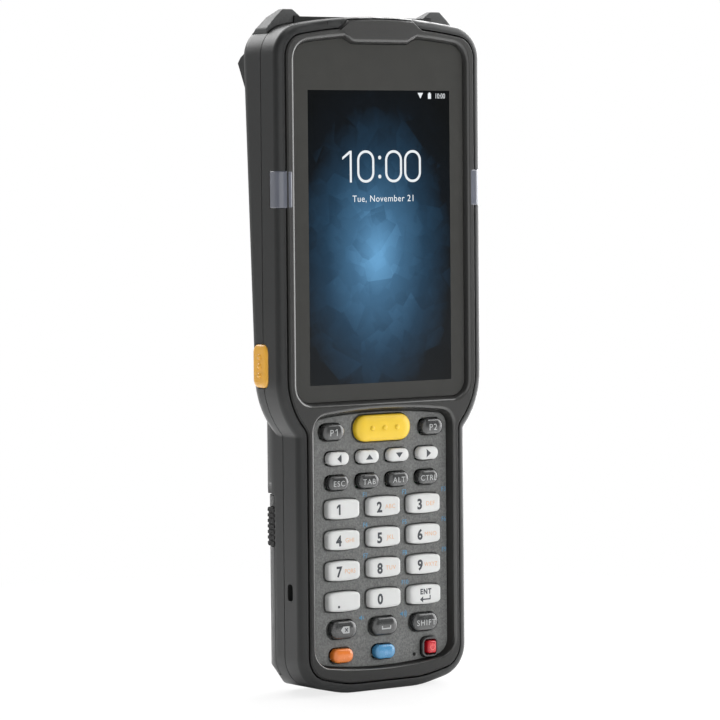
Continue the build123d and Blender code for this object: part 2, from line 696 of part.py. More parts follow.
def window_plane(sink, shift):
    """Plane on the scanner face, below it by sink and moved down it by shift."""
    down, normal, middle = slanted_face(sink)
    origin = (0, middle[0] + down[0] * shift, middle[1] + down[1] * shift)
    return Plane(origin=origin, x_dir=(1, 0, 0), z_dir=(0, normal[0], normal[1]))


def window_cuts():
    """Seat for the scan window and the opening behind it."""
    seat = RectangleRounded(WINDOW_SIZE[0] + 2 * GAP, WINDOW_SIZE[1] + 2 * GAP, WINDOW_CORNER_R)
    depth = WINDOW_THICK + WINDOW_SINK
    cut = extrude(window_plane(0, WINDOW_SHIFT) * seat, amount=-depth)
    clear = RectangleRounded(WINDOW_SIZE[0] - 2 * WINDOW_LAND, WINDOW_SIZE[1] - 2 * WINDOW_LAND,
                             WINDOW_CORNER_R / 2)
    return cut + extrude(window_plane(0, WINDOW_SHIFT) * clear, amount=-2 * WALL)


def scan_window():
    plate = RectangleRounded(WINDOW_SIZE[0], WINDOW_SIZE[1], WINDOW_CORNER_R - GAP)
    return extrude(window_plane(WINDOW_SINK, WINDOW_SHIFT) * plate, amount=-WINDOW_THICK)


def scan_engine():
    """Scan engine behind its window, with the aperture facing out."""
    aperture_z = WALL + GAP
    nose = Rectangle(ENGINE_LENS[0], ENGINE_LENS[1])
    body = extrude(window_plane(aperture_z, WINDOW_SHIFT) * nose, amount=-ENGINE_LENS[2])
    case = Rectangle(ENGINE_SIZE[0], ENGINE_SIZE[1])
    behind = window_plane(aperture_z + ENGINE_LENS[2], WINDOW_SHIFT)
    return body + extrude(behind * case, amount=-ENGINE_SIZE[2])


def corner_bumper():
    """Right-hand faceted bumper beside the scan window."""
    end_y, end_z = BUMPER_BACK[-1]
    face = make_face(Polyline(
        (BUMPER_IN, BUMPER_INNER_Y), (BUMPER_TOP_IN, BUMPER_TOP_Y),
        (BUMPER_TOP_OUT, BUMPER_TOP_Y), BUMPER_CROWN, (BUMPER_OUT, BUMPER_OUT_Y),
        (BUMPER_OUT, end_y), (BUMPER_IN, end_y), close=True))
    body = slab(face, end_z, BUMPER_FRONT_Z)
    body &= side_profile([(0, BUMPER_FRONT_Z), (BUMPER_TOP_Y, BUMPER_FRONT_Z), *BUMPER_BACK,
                          (0, end_z)], FAR / 2)
    body -= rear_form()
    return body.solids().sort_by(SortBy.VOLUME)[-1]


def battery_pack():
    """Battery pack that forms the back of the grip, with pockets for its latches."""
    y_low, y_high = BAY_LOW_Y + PACK_ROOM, BAY_HIGH_Y - PACK_ROOM
    body = grip_back() & block((-FAR, FAR), (y_low, y_high), (BACK_Z, BAY_RAIL_Z - PACK_SEAM))
    half = BAY_HALF - PACK_ROOM
    body += block((-half, half), (y_low, y_high), (BAY_RAIL_Z - PACK_SEAM, PACK_FRONT_Z))
    for cut in both_sides(latch_prism(LATCH_DEPTH + LATCH_TRAVEL + GAP, SLIDE)):
        body -= cut
    return body


def latch_prism(depth, room):
    """Right-hand latch's outline pushed in from the side of the pack."""
    face = RectangleRounded(LATCH_SIZE[0] + 2 * room, LATCH_SIZE[1] + 2 * room,
                            LATCH_CORNER_R + room)
    side = Plane(origin=(GRIP_HALF + LATCH_PROUD, LATCH_Y, LATCH_Z),
                 x_dir=(0, 1, 0), z_dir=(1, 0, 0))
    return extrude(side * face, amount=-depth)


def battery_latch():
    """Right-hand release latch with finger ribs."""
    body = latch_prism(LATCH_DEPTH, 0)
    pitch = LATCH_SIZE[0] / (LATCH_RIBS + 1)
    outer_x = GRIP_HALF + LATCH_PROUD
    for index in range(LATCH_RIBS):
        y = LATCH_Y + (index - (LATCH_RIBS - 1) / 2) * pitch
        body -= block((outer_x - LATCH_RIB_DEEP, outer_x), (y - pitch / 5, y + pitch / 5),
                      (LATCH_Z - LATCH_SIZE[1] / 2, LATCH_Z + LATCH_SIZE[1] / 2))
    return body


def screw_places():
    """Centres of the housing screws, left and right."""
    return [(side * x, y) for x, y in SCREW_PLACES for side in (-1, 1)]


def rear_housing():
    """Rear shell with the scanner hump, the battery bay and the docking end."""
    body = rear_form()
    body -= rear_form(WALL)
    pocket = plan_outline(WALL) & Pos(0, (BAY_LOW_Y + BAY_HIGH_Y) / 2) * Rectangle(
        FAR, BAY_HIGH_Y - BAY_LOW_Y + 2 * WALL)
    body -= slab(pocket, BAY_FLOOR_Z + BAY_FLOOR_THICK, PARTING_Z)
    body -= block((-FAR, FAR), (BAY_LOW_Y, BAY_HIGH_Y), (BACK_Z, BAY_RAIL_Z))
    body -= block((-BAY_HALF, BAY_HALF), (BAY_LOW_Y, BAY_HIGH_Y), (BACK_Z, BAY_FLOOR_Z))
    for x, y in screw_places():
        low = SPINE_BACK_Z + SCREW_SINK + SCREW_HEAD_HIGH
        boss = Pos(x, y) * Rectangle(SCREW_BOSS, SCREW_BOSS)
        body += slab(boss, SPINE_BACK_Z + WALL, low + SCREW_LONG / 2)
        body -= slab(Pos(x, y) * Circle(SCREW_HEAD_R + GAP), BACK_Z, low)
        body -= slab(Pos(x, y) * Circle(SCREW_R + GAP / 2), low, low + SCREW_LONG)
    body -= window_cuts()
    for slot in range(GRILLE_SLOTS):
        y = SPEAKER_Y + (slot - (GRILLE_SLOTS - 1) / 2) * GRILLE_PITCH
        body -= slab(Pos(0, y) * SlotOverall(*GRILLE_SIZE), SPINE_BACK_Z, SPINE_BACK_Z + WALL)
    for cut in both_sides(button_opening(SLIDE)) + both_sides(scoop()):
        body -= cut
    groove = plan_outline(SEAL_INSET - GAP) - plan_outline(SEAL_INSET + SEAL_WIDE + GAP)
    body -= slab(groove, PARTING_Z - SEAL_DEEP, PARTING_Z)
    dock = block((-DOCK_SIZE[0] / 2 - GAP, DOCK_SIZE[0] / 2 + GAP),
                 (FOOT_Y, FOOT_Y + DOCK_SINK + DOCK_SIZE[2] + GAP),
                 (DOCK_Z - DOCK_SIZE[1] / 2 - GAP, DOCK_Z + DOCK_SIZE[1] / 2 + GAP))
    return body - dock


def scoop():
    """Right-hand finger scoop above the battery latch."""
    return slab(Pos(GRIP_HALF + SCOOP_R / 3, SCOOP_Y) * Circle(SCOOP_R), BACK_Z, SCOOP_Z)


def perimeter_seal():
    """Rubber cord in the joint between the housings, open at the side buttons."""
    ring = plan_outline(SEAL_INSET) - plan_outline(SEAL_INSET + SEAL_WIDE)
    body = slab(ring, PARTING_Z - SEAL_DEEP, PARTING_Z)
    for cut in both_sides(button_opening(SLIDE)):
        body -= cut
    return body


# ---------------------------------------------------------------- small pieces

def side_button():
    """Right-hand scan button with end tabs, finger dots and a switch nub."""
    body = button_opening(0)
    body = chamfer(body.edges().group_by(Axis.X)[-1], BUTTON_EDGE)
    outer_x = HEAD_HALF + BUTTON_PROUD
    inner_x = HEAD_HALF - WALL - BUTTON_SEAT
    tab_y = BUTTON_SIZE[0] / 2 + BUTTON_TAB[0]
    body += block((inner_x - BUTTON_TAB[2], inner_x), (BUTTON_Y - tab_y, BUTTON_Y + tab_y),
                  (BUTTON_Z - BUTTON_TAB[1] / 2, BUTTON_Z + BUTTON_TAB[1] / 2))
    across = Plane(origin=(HEAD_HALF - BUTTON_DEPTH, BUTTON_Y, BUTTON_NUB_Z),
                   x_dir=(0, 1, 0), z_dir=(1, 0, 0))
    body += extrude(across * Circle(BUTTON_NUB_R), amount=-BUTTON_TRAVEL / 2)
    face = Plane(origin=(outer_x, BUTTON_Y, BUTTON_Z), x_dir=(0, 1, 0), z_dir=(1, 0, 0))
    for dot in range(BUTTON_DOTS):
        along = (dot - (BUTTON_DOTS - 1) / 2) * BUTTON_DOT_PITCH
        dot_face = face * Pos(along, 0) * RegularPolygon(BUTTON_DOT_R, DOME_SIDES)
        body += extrude(dot_face, amount=BUTTON_DOT_HIGH)
    return body


def side_switches():
    """Tact switches on the main board, one behind each side button."""
    nub_x = HEAD_HALF - BUTTON_DEPTH - BUTTON_TRAVEL / 2
    face_x = nub_x - BUTTON_TRAVEL - GAP
    body = block((face_x - SWITCH_SIZE[0], face_x),
                 (BUTTON_Y - SWITCH_SIZE[1] / 2, BUTTON_Y + SWITCH_SIZE[1] / 2),
                 (MAIN_LOW_Z - SWITCH_SIZE[2], MAIN_LOW_Z))
    return both_sides(body)


def battery_contacts():
    """Spring blades on the floor of the battery bay."""
    half = CONTACT_SIZE[0] / 2
    top_z = BAY_FLOOR_Z - CONTACT_SIZE[2]
    base_z = BAY_FLOOR_Z - CONTACT_SIZE[2] / 2
    span = (CONTACT_Y - CONTACT_SIZE[1] / 2, CONTACT_Y + CONTACT_SIZE[1] / 2)
    body = block((-half, half), span, (base_z, BAY_FLOOR_Z))
    pitch = CONTACT_SIZE[0] / CONTACT_BLADES
    for blade in range(CONTACT_BLADES):
        x = (blade - (CONTACT_BLADES - 1) / 2) * pitch
        body += block((x - pitch / 4, x + pitch / 4), span, (top_z, base_z))
    return body


def loudspeaker():
    """Round loudspeaker behind the grille in the back."""
    low_z = SPINE_BACK_Z + WALL + SPEAKER_SEAT
    body = slab(Pos(0, SPEAKER_Y) * Circle(SPEAKER_R), low_z, low_z + SPEAKER_HIGH / 2)
    magnet = Pos(0, SPEAKER_Y) * Circle(SPEAKER_R * 0.7)
    return body + slab(magnet, low_z + SPEAKER_HIGH / 2, low_z + SPEAKER_HIGH)


def vibration_motor():
    return slab(Pos(MOTOR_X, MOTOR_Y) * Circle(MOTOR_R), MAIN_LOW_Z - MOTOR_HIGH, MAIN_LOW_Z)


def dock_connector():
    """Row of charging pads in the docking end."""
    half = DOCK_SIZE[0] / 2
    face_y = FOOT_Y + DOCK_SINK
    z_span = (DOCK_Z - DOCK_SIZE[1] / 2, DOCK_Z + DOCK_SIZE[1] / 2)
    body = block((-half, half), (face_y, face_y + DOCK_SIZE[2]), z_span)
    pitch = DOCK_SIZE[0] / DOCK_PADS
    for pad in range(DOCK_PADS):
        x = (pad - (DOCK_PADS - 1) / 2) * pitch
        body += block((x - DOCK_PAD / 2, x + DOCK_PAD / 2), (face_y - DOCK_SINK / 2, face_y),
                      (z_span[0] + DOCK_PAD, z_span[1] - DOCK_PAD))
    return body


def housing_screws():
    """Screws that hold the rear housing, each with a driver recess."""
    head_z = SPINE_BACK_Z + SCREW_SINK
    top_z = head_z + SCREW_HEAD_HIGH
    screws = []
    for x, y in screw_places():
        screw = slab(Circle(SCREW_HEAD_R), head_z, top_z)
        shank = RegularPolygon(SCREW_R, SCREW_SIDES)
        screw += slab(shank, top_z, top_z + SCREW_LONG - GAP)
        screw -= slab(RegularPolygon(SCREW_HEAD_R / 2, 6), head_z, head_z + SCREW_HEAD_HIGH / 2)
        screws.append(Pos(x, y) * screw)
    return screws


# ---------------------------------------------------------------- the assembly

def terminal():
    """Every piece of the terminal by name, in the drawing frame."""
    nodes = {
        "front_housing": front_housing(),
        "front_bezel": front_bezel(),
        "touch_glass": touch_glass(),
        "display_gasket": display_gasket(),
        "lcd_module": lcd_module(),
        "keypad_plate": keypad_plate(),
        "power_key_bezel": power_key_bezel(),
        "keypad_mat": keypad_mat(),
        "dome_switches": dome_switches(),
        "keypad_board": keypad_board(),
        "chassis": chassis(),
        "main_board": main_board(),
        "rear_housing": rear_housing(),
        "perimeter_seal": perimeter_seal(),
        "scan_window": scan_window(),
        "scan_engine": scan_engine(),
        "battery_pack": battery_pack(),
        "battery_contacts": battery_contacts(),
        "side_switches": side_switches(),
        "loudspeaker": loudspeaker(),
        "vibration_motor": vibration_motor(),
        "dock_connector": dock_connector(),
        "housing_screws": housing_screws(),
    }
    pairs = {"corner_bumper": corner_bumper(), "led_lens": led_lens(),
             "side_button": side_button(), "battery_latch": battery_latch()}
    for name, solid in pairs.items():
        right, left = both_sides(solid)
        nodes[name + "_right"] = right
        nodes[name + "_left"] = left
    for name, draw, size, x, y in key_layout():
        nodes[name] = key_cap(draw, size, x, y)
    return nodes


def standing():
    """Where the drawing stands: docking end down, screen towards -Y."""
    middle_z = (RIM_Z + BACK_Z) / 2
    return Plane(origin=(0, middle_z, -FOOT_Y), x_dir=(1, 0, 0), z_dir=(0, -1, 0)).location


def export_node(name, shape, place):
    solids = []
    for part in (shape if isinstance(shape, list) else [shape]):
        solids += part.solids()
    moved = [place * solid for solid in solids]
    export_step(Compound(children=moved) if len(moved) > 1 else moved[0],
                "parts/" + name + ".step")


if __name__ == "__main__":
    os.makedirs("parts", exist_ok=True)
    stand = standing()
    for node, shape in terminal().items():
        export_node(node, shape, stand)
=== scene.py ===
import json
from math import cos, pi, radians, sin

import bmesh
import bpy
from mathutils import Matrix, Vector
from mathutils.bvhtree import BVHTree


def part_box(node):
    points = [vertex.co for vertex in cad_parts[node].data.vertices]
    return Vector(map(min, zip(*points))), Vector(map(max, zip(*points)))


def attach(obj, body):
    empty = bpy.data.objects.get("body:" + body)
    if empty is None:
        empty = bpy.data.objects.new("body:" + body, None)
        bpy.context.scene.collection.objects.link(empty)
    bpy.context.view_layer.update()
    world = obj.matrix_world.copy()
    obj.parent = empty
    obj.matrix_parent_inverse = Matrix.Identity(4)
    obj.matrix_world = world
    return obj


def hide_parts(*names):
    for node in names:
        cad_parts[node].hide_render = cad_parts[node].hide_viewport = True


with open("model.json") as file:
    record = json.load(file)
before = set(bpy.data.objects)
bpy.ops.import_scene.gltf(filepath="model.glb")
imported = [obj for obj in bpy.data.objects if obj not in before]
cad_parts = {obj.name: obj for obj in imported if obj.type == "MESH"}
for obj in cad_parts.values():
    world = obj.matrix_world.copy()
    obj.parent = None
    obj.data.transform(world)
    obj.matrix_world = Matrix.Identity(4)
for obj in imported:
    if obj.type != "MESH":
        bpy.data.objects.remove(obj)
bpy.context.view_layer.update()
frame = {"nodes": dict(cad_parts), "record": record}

# Finish of a handheld barcode terminal. Pieces are drawn in the terminal's drawing frame, in
# millimetres: x to the right, y along the length towards the scanner end, z out of the screen,
# with the picture's centre on the glass as origin. STAND stands that frame up, and DRAWING also
# turns its millimetres into metres.
MM = 0.001
GLASS_LOW, GLASS_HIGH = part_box("touch_glass")
PICTURE_ABOVE_GLASS_END = 48.2 * MM
STAND = Matrix(((1, 0, 0, 0),
                (0, 0, -1, GLASS_LOW.y),
                (0, 1, 0, GLASS_LOW.z + PICTURE_ABOVE_GLASS_END),
                (0, 0, 0, 1)))
DRAWING = STAND @ Matrix.Scale(MM, 4)
BODY_OF = {node: body for body, nodes in frame["record"]["behaviour"]["bodies"].items()
           for node in nodes}
SLOT_OF = {part["node"]: part["material_slot"] for part in frame["record"]["subparts"]}

# ---- sizes that the finish needs, in millimetres
PICTURE_SIZE = (51.84, 86.4)
PANEL_Z = -1.0
KEY_FLANGE = 0.45          # a key's hidden flange stands this far out of its cap
CAP_GAP = (0.38, 0.1)      # how much smaller a cap is than its opening, on each side
KEY_ROOT_Z = -1.6          # where a key's visible cap starts, inside its opening
KEY_TOP_Z = 0.85
INK_RISE = 0.015           # prints stand this far off what carries them
INK_THICK = 0.03
CAPITAL = 0.729            # height of a capital letter, as a share of the letters' size
ABOVE_ALL_Z = 5            # prints are let down onto the keys from here
SAME_PLACE = 0.002         # corners nearer than this are one
FLAT = radians(0.05)       # facets that turn less than this are one face


# ---------------------------------------------------------------- shader maths

class Value:
    """A node's output; sums written with it add Math nodes to its finish."""

    def __init__(self, finish, socket):
        self.finish = finish
        self.socket = socket

    def maths(self, operation, first, second):
        return self.finish.node("ShaderNodeMath", {"operation": operation}, {0: first, 1: second})

    def __add__(self, other):
        return self.maths("ADD", self, other)

    def __radd__(self, other):
        return self.maths("ADD", other, self)

    def __sub__(self, other):
        return self.maths("SUBTRACT", self, other)

    def __rsub__(self, other):
        return self.maths("SUBTRACT", other, self)

    def __mul__(self, other):
        return self.maths("MULTIPLY", self, other)

    def __rmul__(self, other):
        return self.maths("MULTIPLY", other, self)

    def __truediv__(self, other):
        return self.maths("DIVIDE", self, other)

    def __pow__(self, other):
        return self.maths("POWER", self, other)


class Finish:
    """A material and the nodes that make it."""

    def __init__(self, name, tree=None):
        if tree is None:
            self.material = bpy.data.materials.new(name)
            self.material.use_nodes = True
            tree = self.material.node_tree
        self.tree = tree
        self.shader = tree.nodes.get("Principled BSDF")

    def node(self, kind, settings=None, inputs=None, output=0):
        """Adds a node, sets it, feeds its sockets and returns one of its outputs."""
        made = self.tree.nodes.new(kind)
        for name, value in (settings or {}).items():
            if name == "stops":
                self.set_stops(made.color_ramp, value)
            else:
                setattr(made, name, value)
        for name, value in (inputs or {}).items():
            self.feed(made.inputs[name], value)
        return Value(self, made.outputs[output])

    def set_stops(self, ramp, stops):
        while len(ramp.elements) < len(stops):
            ramp.elements.new(1.0)
        for element, (place, colour) in zip(ramp.elements, stops):
            element.position = place
            element.color = (*colour, 1.0)

    def feed(self, socket, value):
        if isinstance(value, Value):
            self.tree.links.new(value.socket, socket)
        elif socket.type == "RGBA":
            socket.default_value = (*value, 1.0)
        else:
            socket.default_value = value

    def place(self):
        return self.node("ShaderNodeTexCoord", output="Object")

    def along(self, letter, near=0.0):
        """Distance along one of the frame's axes, in millimetres from a place in metres."""
        axis = self.node("ShaderNodeSeparateXYZ", {}, {0: self.place()}, output=letter)
        return (axis - near) / MM

    def noise(self, size, detail=2.0, roughness=0.5):
        """Noise whose features are about size millimetres across."""
        return self.node("ShaderNodeTexNoise", {},
                         {"Vector": self.place(), "Scale": 1 / (size * MM), "Detail": detail,
                          "Roughness": roughness})

    def ramp(self, value, low, high):
        """Value spread from 0 at low to 1 at high, and held beyond them."""
        return self.node("ShaderNodeMapRange", {"clamp": True},
                         {"Value": value, "From Min": low, "From Max": high})

    def mix(self, share, first, second):
        """A colour between two, by share."""
        made = self.tree.nodes.new("ShaderNodeMix")
        made.data_type = "RGBA"
        self.feed(made.inputs[0], share)
        self.feed(made.inputs[6], first)
        self.feed(made.inputs[7], second)
        return Value(self, made.outputs[2])

    def bump(self, height, depth, under=None):
        """A normal raised by height times depth, in millimetres."""
        inputs = {"Height": height, "Distance": depth * MM, "Strength": 1.0}
        if under is not None:
            inputs["Normal"] = under
        return self.node("ShaderNodeBump", {}, inputs)

    def set(self, **sockets):
        """Feeds the surface shader; an underscore in a name stands for a space."""
        for name, value in sockets.items():
            self.feed(self.shader.inputs[name.replace("_", " ")], value)
        return self


def tone(red, green, blue):
    """A screen colour, 0 to 255, as the shader's linear colour."""
    def channel(value):
        share = value / 255
        return share / 12.92 if share < 0.04045 else ((share + 0.055) / 1.055) ** 2.4
    return (channel(red), channel(green), channel(blue))


def shade(colour, factor):
    return tuple(channel * factor for channel in colour)


# ---------------------------------------------------------------- finishes

END_SHADE_Y = (-70.0, 20.0)     # between these heights the painted shade at the docking end lifts to the full colour


def painted_end_shade(finish, base, low):
    """The same colour with painted shade, a little darker towards the docking end."""
    share = finish.ramp(finish.along("Z", STAND.translation.z), *END_SHADE_Y)
    return finish.mix(share, finish.mix(low, (0, 0, 0), base), base)


def moulded(name, colour, roughness, grain=0.35, depth=0.02, mottle=0.1, speckle=0.2, low=1.0,
            gloss=0.4):
    """Moulded plastic: grain of a spark-eroded tool, faint clouds, rubbed places, painted shade
    towards the docking end.
    """
    finish = Finish(name)
    clouds = finish.noise(24, 3)
    fine = finish.noise(grain, 2)
    rubbed = finish.ramp(finish.noise(9, 4, 0.65), 0.56, 0.74)
    speck = finish.ramp(fine, 0.35, 0.7)
    base = finish.mix(clouds, shade(colour, 1 - mottle), shade(colour, 1 + mottle))
    base = finish.mix(speck * speckle, base, shade(colour, 2.0))
    return finish.set(Base_Color=painted_end_shade(finish, base, low),
                      Roughness=roughness + 0.1 * (speck - 0.5) - 0.06 * rubbed,
                      Specular_IOR_Level=gloss, Normal=finish.bump(fine, depth))


def plain(name, colour, roughness, metallic=0.0, grain=0.4, depth=0.006, coat=0.0, low=1.0):
    """Even finish of a small piece: faint mottling, handled gloss, a fine surface and painted
    shade towards the docking end.
    """
    finish = Finish(name)
    fine = finish.noise(grain, 2)
    handled = finish.noise(5, 3, 0.6)
    base = finish.mix(handled, shade(colour, 0.93), shade(colour, 1.05))
    return finish.set(Base_Color=painted_end_shade(finish, base, low), Metallic=metallic, Coat_Weight=coat,
                      Coat_Roughness=0.12,
                      Roughness=roughness + 0.08 * (fine - 0.5) + 0.1 * (handled - 0.5),
                      Normal=finish.bump(fine, depth))


GLOW_PLACE = (-1.5, -5.0, 0.0)
GLOW_REACH = (27, 42)      # how far the glow runs across and up
FACET = 7
SMALL_FACET = 3.2


def picture():
    """Lit wallpaper: a blue glow behind pale facets, dark towards the edges."""
    finish = Finish("lit_picture")
    here = DRAWING @ Vector(GLOW_PLACE)
    across = finish.along("X", here.x) / GLOW_REACH[0]
    up = finish.along("Z", here.z) / GLOW_REACH[1]
    glow = 1 - (across * across + up * up) ** 0.5
    facets = finish.node("ShaderNodeTexVoronoi", {},
                         {"Vector": finish.place(), "Scale": 1 / (FACET * MM),
                          "Randomness": 1.0},
                         output="Color")
    small = finish.node("ShaderNodeTexVoronoi", {},
                        {"Vector": finish.place(), "Scale": 1 / (SMALL_FACET * MM),
                         "Randomness": 1.0},
                        output="Color")
    jitter = (finish.node("ShaderNodeSeparateColor", {}, {0: facets}) - 0.5) * 0.11
    jitter = jitter + (finish.node("ShaderNodeSeparateColor", {}, {0: small}) - 0.5) * 0.05
    level = finish.ramp(glow + jitter, -0.35, 1.0)
    colour = finish.node("ShaderNodeValToRGB",
                         {"stops": [(0.0, tone(6, 9, 11)), (0.22, tone(9, 16, 22)),
                                    (0.5, tone(31, 60, 83)), (0.75, tone(62, 104, 137)),
                                    (1.0, tone(104, 162, 206))]}, {0: level})
    fine = finish.noise(0.3, 1)
    return finish.set(Base_Color=(0.002, 0.002, 0.002), Emission_Color=colour,
                      Emission_Strength=1.0, Roughness=0.1 + 0.02 * fine)


def lit_print():
    """Lit white of the clock and the small signs."""
    finish = Finish("lit_letters")
    fine = finish.noise(0.5, 1)
    white = finish.mix(fine, tone(226, 232, 236), tone(244, 247, 250))
    return finish.set(Base_Color=(0.01, 0.01, 0.01), Emission_Color=white, Emission_Strength=1.0,
                      Roughness=0.12 + 0.02 * fine)


# low is how dark a finish's painted shade gets at the docking end, as a share of its colour
FINISHES = {
    "housing": moulded("housing_plastic", tone(36, 37, 37), 0.4, gloss=0.5, low=0.7),
    "bezel": moulded("bezel_plastic", tone(44, 44, 43), 0.5, depth=0.05, speckle=0.45,
                     low=0.58),
    "rim": plain("bezel_rim", tone(58, 58, 57), 0.2, depth=0.001, coat=0.6),
    "panel": moulded("keypad_panel_plastic", tone(91, 92, 91), 0.6, grain=0.5, depth=0.12,
                     speckle=0.75),
    "glass": plain("printed_glass", tone(67, 67, 65), 0.14, depth=0.0004, low=0.72),
    "display": plain("display_module", tone(14, 15, 17), 0.2),
    "key_white": plain("white_key", tone(208, 209, 208), 0.34, depth=0.002),
    "key_dark": plain("dark_key", tone(58, 59, 59), 0.26, depth=0.003, coat=1.0),
    "key_yellow": plain("yellow_key", tone(232, 194, 48), 0.38),
    "key_orange": plain("orange_key", tone(228, 124, 44), 0.26, coat=0.8),
    "key_blue": plain("blue_key", tone(76, 144, 190), 0.26, coat=0.8),
    "key_red": plain("red_key", tone(200, 26, 40), 0.2, coat=0.6),
    "black_trim": plain("black_trim", tone(20, 20, 20), 0.2, depth=0.001, coat=0.8),
    "bumper": moulded("bumper_rubber", tone(76, 77, 77), 0.5, grain=0.5, depth=0.05),
    "lamp": plain("lamp_lens", tone(104, 107, 117), 0.2, coat=1.0),
    "button_yellow": plain("side_button", tone(234, 172, 52), 0.36, coat=0.5),
    "scan_glass": plain("scan_window_glass", tone(26, 6, 9), 0.08, depth=0.0005, coat=0.6),
    "pack": moulded("battery_pack_plastic", tone(41, 42, 42), 0.42, gloss=0.5),
    "board": plain("circuit_board", tone(24, 74, 44), 0.4),
    "metal": plain("chassis_metal", tone(170, 172, 174), 0.35, metallic=1.0),
    "dome": plain("snap_dome", tone(200, 200, 196), 0.25, metallic=1.0),
    "contact": plain("gold_contact", tone(222, 180, 96), 0.25, metallic=1.0),
    "screw": plain("screw_steel", tone(96, 98, 100), 0.3, metallic=1.0),
    "silicone": plain("keypad_silicone", tone(150, 152, 150), 0.6),
    "foam": plain("gasket_foam", tone(30, 30, 30), 0.9),
    "latch": plain("latch_plastic", tone(24, 24, 24), 0.6),
    "lit_picture": picture(),
    "lit_letters": lit_print(),
    "dark_ink": plain("dark_ink", tone(58, 62, 68), 0.5),
    "orange_ink": plain("orange_ink", tone(216, 168, 124), 0.5),
    "pale_ink": plain("pale_ink", tone(172, 174, 174), 0.5),
    "red_ink": plain("red_ink", tone(226, 96, 90), 0.4),
    "blue_ink": plain("blue_ink", tone(78, 142, 180), 0.55),
}


# ---------------------------------------------------------------- drawing aids

def new_faces(result):
    return [item for item in result["geom"] if isinstance(item, bmesh.types.BMFace)]


def new_verts(result):
    return [item for item in result["geom"] if isinstance(item, bmesh.types.BMVert)]


def hang(name, drawing, slot, body, finish=None):
    """Turns a drawing into a piece that rides on a body."""
    mesh = bpy.data.meshes.new(name)
    drawing.to_mesh(mesh)
    drawing.free()
    mesh.transform(DRAWING)
    mesh.materials.append(FINISHES[finish or slot].material)
    piece = bpy.data.objects.new(name, mesh)
    bpy.context.scene.collection.objects.link(piece)
    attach(piece, body)
    return piece


def smooth(drawing, turn=35):
    """Smooth faces, with a crease wherever the surface turns by more than the angle."""
    for face in drawing.faces:
        face.smooth = True
    for edge in drawing.edges:
        sharp = len(edge.link_faces) != 2 or edge.calc_face_angle(pi) > radians(turn)
        edge.smooth = not sharp


def even(piece):
    """Keeps broad faces flat where they run into rounded edges."""
    weighted = piece.modifiers.new("even normals", "WEIGHTED_NORMAL")
    weighted.keep_sharp = True
    return piece


FINISH_OF = {"perimeter_seal": "foam", "battery_latch_left": "latch",
             "battery_latch_right": "latch"}


def dress(node, edge=0.12, turn=35, corner=35, segments=2, edge_finish=None):
    """A plain piece with its facets joined and its sharp edges softened."""
    drawing = bmesh.new()
    drawing.from_mesh(frame["nodes"][node].data)
    bmesh.ops.transform(drawing, matrix=DRAWING.inverted(), verts=drawing.verts)
    bmesh.ops.remove_doubles(drawing, verts=drawing.verts, dist=SAME_PLACE)
    if node in RESHAPED:
        RESHAPED[node](drawing)
    if edge:
        bmesh.ops.dissolve_limit(drawing, angle_limit=FLAT, verts=drawing.verts,
                                 edges=drawing.edges)
    smooth(drawing, turn)
    weight = drawing.edges.layers.float.new("bevel_weight_edge")
    for line in drawing.edges:
        if len(line.link_faces) == 2 and line.calc_face_angle() > radians(corner):
            line[weight] = SOFTNESS.get(node, whole)(line)
    piece = hang(node + "_finished", drawing, SLOT_OF[node], BODY_OF[node], FINISH_OF.get(node))
    if edge:
        soft = piece.modifiers.new("softened edges", "BEVEL")
        soft.width = edge * MM
        soft.segments = segments
        soft.limit_method = "WEIGHT"
        soft.use_clamp_overlap = False
        soft.harden_normals = True
    if edge_finish:
        piece.data.materials.append(FINISHES[edge_finish].material)
        soft.material = 1
    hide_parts(node)
    return even(piece)


def place_of(node):
    """Lowest and highest corner of a node's box, in drawing millimetres."""
    to_drawing = DRAWING.inverted()
    first, second = (to_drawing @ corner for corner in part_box(node))
    return Vector(map(min, first, second)), Vector(map(max, first, second))


def plate(width, height, corner, segments=6):
    """A flat face round the origin, with round corners."""
    drawing = bmesh.new()
    bmesh.ops.create_grid(drawing, x_segments=1, y_segments=1, size=0.5)
    bmesh.ops.scale(drawing, vec=(width, height, 1), verts=drawing.verts)
    if corner:
        bmesh.ops.bevel(drawing, geom=drawing.verts[:], offset=corner, segments=segments,
                        affect="VERTICES", profile=0.5, material=-1)
    return drawing


def arched(drawing, width, height, sag):
    """Bulges a plate's long edges, so that its ends are lower by sag at top and bottom."""
    long_edges = [edge for edge in drawing.edges if edge.calc_length() > width / 2]
    bmesh.ops.subdivide_edges(drawing, edges=long_edges, cuts=9)
    for vert in drawing.verts:
        reach = 2 * vert.co.x / width
        vert.co.y *= 1 - 2 * sag / height * reach * reach


def raised(drawing, low, high):
    """Stands a plate up between two heights as a closed block and returns its top faces."""
    bmesh.ops.translate(drawing, vec=(0, 0, low), verts=drawing.verts)
    grown = bmesh.ops.extrude_face_region(drawing, geom=drawing.faces[:], use_keep_orig=True)
    bmesh.ops.translate(drawing, vec=(0, 0, high - low), verts=new_verts(grown))
    bmesh.ops.recalc_face_normals(drawing, faces=drawing.faces)
    return new_faces(grown)


def domed(drawing, tops, reach, rise, rings=6):
    """Draws the top faces in and up, ring by ring, along a quarter of an ellipse."""
    gone_in = gone_up = 0.0
    for ring in range(1, rings + 1):
        turn = pi / 2 * ring / rings
        step_in = reach * (1 - cos(turn)) - gone_in
        step_up = rise * sin(turn) - gone_up
        bmesh.ops.inset_region(drawing, faces=tops, thickness=step_in, depth=step_up,
                               use_even_offset=True, use_boundary=True)
        gone_in += step_in
        gone_up += step_up


def join(drawing, other):
    """Adds another drawing's mesh to this one."""
    mesh = bpy.data.meshes.new("joined")
    other.to_mesh(mesh)
    other.free()
    drawing.from_mesh(mesh)
    bpy.data.meshes.remove(mesh)


